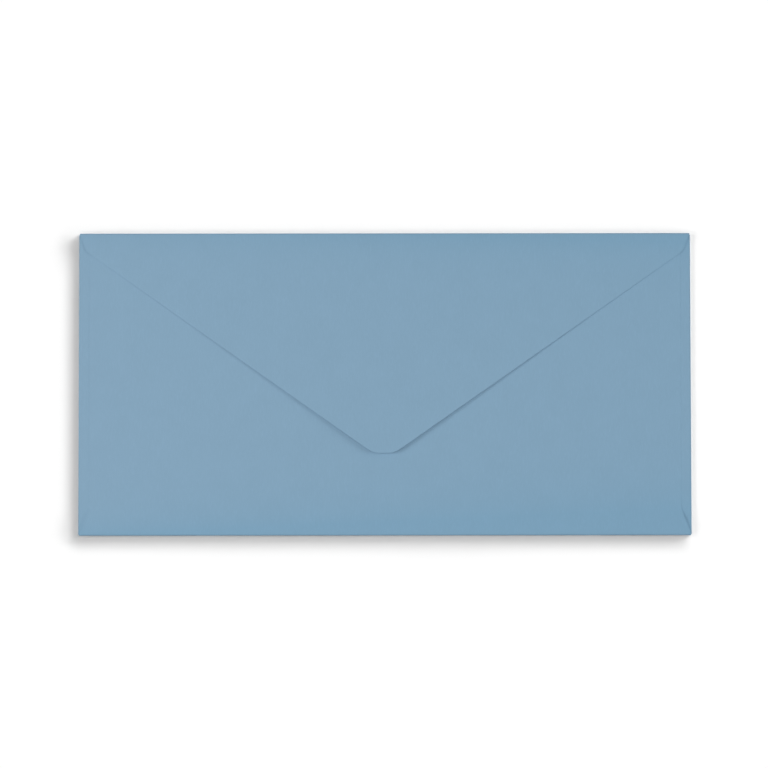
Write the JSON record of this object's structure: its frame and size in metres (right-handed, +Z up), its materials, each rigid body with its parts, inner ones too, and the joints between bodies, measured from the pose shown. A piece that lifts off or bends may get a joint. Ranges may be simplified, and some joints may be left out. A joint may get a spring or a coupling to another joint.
{
  "type": "paper envelope",
  "caption": "Long paper envelope folded from one sheet, closed but not stuck, with a pointed flap, a back panel glued to two side flaps, and an open pocket.",
  "frame": {"origin": "middle of the front panel's outer face, on the surface that the envelope lies on", "axes": "+X along the long side, +Y towards the fold of the closing flap, +Z up through the layers to the closing flap"},
  "size_m": [0.22, 0.109, 0.0028],
  "materials": {
    "paper": "matt light blue uncoated paper, the same colour on both faces"
  },
  "bodies": {
    "root": {"envelope": "paper"}
  },
  "joints": []
}
